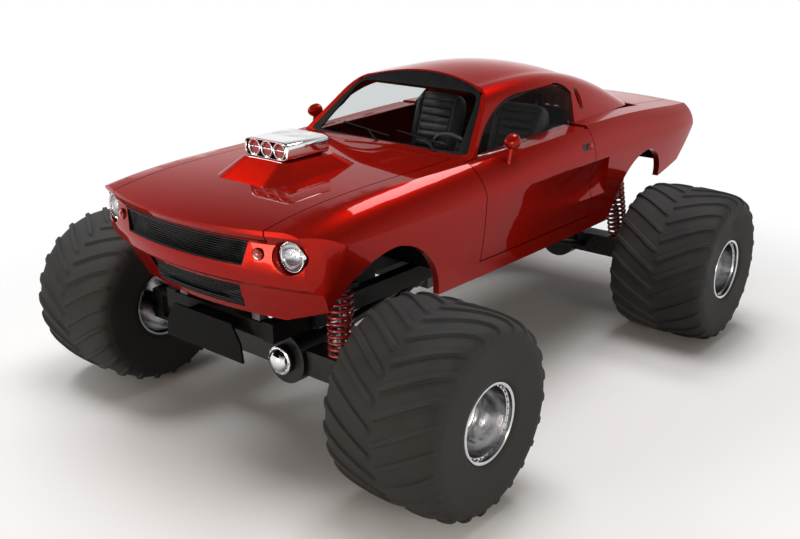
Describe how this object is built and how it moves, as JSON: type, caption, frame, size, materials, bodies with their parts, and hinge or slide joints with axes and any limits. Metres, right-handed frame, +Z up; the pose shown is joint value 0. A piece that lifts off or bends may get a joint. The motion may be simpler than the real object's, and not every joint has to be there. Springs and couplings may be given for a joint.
{
  "type": "monster truck",
  "caption": "Fastback coupe body carried high on a ladder frame, with beam axles and very wide bar-lug tyres; doors, lids, wheels and steering move.",
  "frame": {"origin": "on the floor under the middle of the bounding box", "axes": "+X forward, +Y to the driver's left, +Z up"},
  "size_m": [4.57, 3.216, 1.9821],
  "materials": {
    "body_paint": "candy red metallic under clear coat",
    "glass": "clear tinted glass",
    "lamp_glass": "clear lamp glass",
    "signal_lens": "red-orange lens",
    "grille_black": "black",
    "chrome": "polished",
    "wheel_alloy": "polished",
    "tyre_rubber": "matte dark grey",
    "chassis_black": "satin black",
    "spring_red": "red",
    "cast_grey": "cast",
    "radiator_grey": "satin",
    "trim_black": "grained black",
    "seat_black": "ribbed black"
  },
  "bodies": {
    "chassis": {"cowl": "body_paint", "crossmembers": "chassis_black", "dashboard": "trim_black", "drive_shafts": "chassis_black", "engine": "cast_grey", "firewall": "chassis_black", "floor_pan": "chassis_black", "frame_rails": "chassis_black", "front_axle": "chassis_black", "gearbox": "cast_grey", "grille": "grille_black", "headlamps": "lamp_glass", "link_bars": "chassis_black", "lower_grille": "grille_black", "nose": "body_paint", "quarter_left": "body_paint", "quarter_right": "body_paint", "radiator": "radiator_grey", "rear_axle": "chassis_black", "rear_bulkhead": "chassis_black", "rear_filler": "body_paint", "rear_floor": "chassis_black", "rear_window": "glass", "rockers": "body_paint", "roof": "body_paint", "sails": "body_paint", "seats": "seat_black", "skid_plate": "chassis_black", "spring_towers": "chassis_black", "springs": "spring_red", "steering_wheel": "trim_black", "tail_lamps": "signal_lens", "tail_panel": "body_paint", "turn_lamps": "signal_lens", "windscreen": "glass", "windscreen_pillars": "body_paint", "wing_left": "body_paint", "wing_right": "body_paint"},
    "hood": {"hood": "body_paint", "intake_scoop": "chrome"},
    "deck_lid": {"deck_lid": "body_paint"},
    "door_left": {"door_left": "body_paint", "door_glass_left": "glass", "mirror_left": "body_paint"},
    "door_right": {"door_right": "body_paint", "door_glass_right": "glass", "mirror_right": "body_paint"},
    "steer_left": {"knuckle_left": "chassis_black"},
    "steer_right": {"knuckle_right": "chassis_black"},
    "wheel_front_left": {"rim_front_left": "wheel_alloy", "tyre_front_left": "tyre_rubber"},
    "wheel_front_right": {"rim_front_right": "wheel_alloy", "tyre_front_right": "tyre_rubber"},
    "wheel_rear_left": {"rim_rear_left": "wheel_alloy", "tyre_rear_left": "tyre_rubber"},
    "wheel_rear_right": {"rim_rear_right": "wheel_alloy", "tyre_rear_right": "tyre_rubber"}
  },
  "joints": [
    {"name": "hood_lift", "type": "hinge", "parent": "chassis", "child": "hood", "pos_m": [0.6995, 0, 1.561], "axis": [0, -1, 0], "range_deg": [0, 50]},
    {"name": "deck_lid_lift", "type": "hinge", "parent": "chassis", "child": "deck_lid", "pos_m": [-1.6915, 0, 1.591], "axis": [0, 1, 0], "range_deg": [0, 60]},
    {"name": "door_left_swing", "type": "hinge", "parent": "chassis", "child": "door_left", "pos_m": [0.7115, 0.882, 1.3], "axis": [0, 0, -1], "range_deg": [0, 65]},
    {"name": "door_right_swing", "type": "hinge", "parent": "chassis", "child": "door_right", "pos_m": [0.7115, -0.882, 1.3], "axis": [0, 0, 1], "range_deg": [0, 65]},
    {"name": "steer_left", "type": "hinge", "parent": "chassis", "child": "steer_left", "pos_m": [1.667, 0.96, 0.545], "axis": [0, 0, 1], "range_deg": [-20, 20]},
    {"name": "steer_right", "type": "hinge", "parent": "chassis", "child": "steer_right", "pos_m": [1.667, -0.96, 0.545], "axis": [0, 0, 1], "range_deg": [-20, 20]},
    {"name": "spin_front_left", "type": "hinge", "parent": "steer_left", "child": "wheel_front_left", "pos_m": [1.667, 1.263, 0.545], "axis": [0, 1, 0], "continuous": true},
    {"name": "spin_front_right", "type": "hinge", "parent": "steer_right", "child": "wheel_front_right", "pos_m": [1.667, -1.263, 0.545], "axis": [0, 1, 0], "continuous": true},
    {"name": "spin_rear_left", "type": "hinge", "parent": "chassis", "child": "wheel_rear_left", "pos_m": [-1.303, 1.263, 0.545], "axis": [0, 1, 0], "continuous": true},
    {"name": "spin_rear_right", "type": "hinge", "parent": "chassis", "child": "wheel_rear_right", "pos_m": [-1.303, -1.263, 0.545], "axis": [0, 1, 0], "continuous": true}
  ],
  "couplings": [
    {"joint": "steer_right", "follows": "steer_left", "ratio": 1}
  ]
}
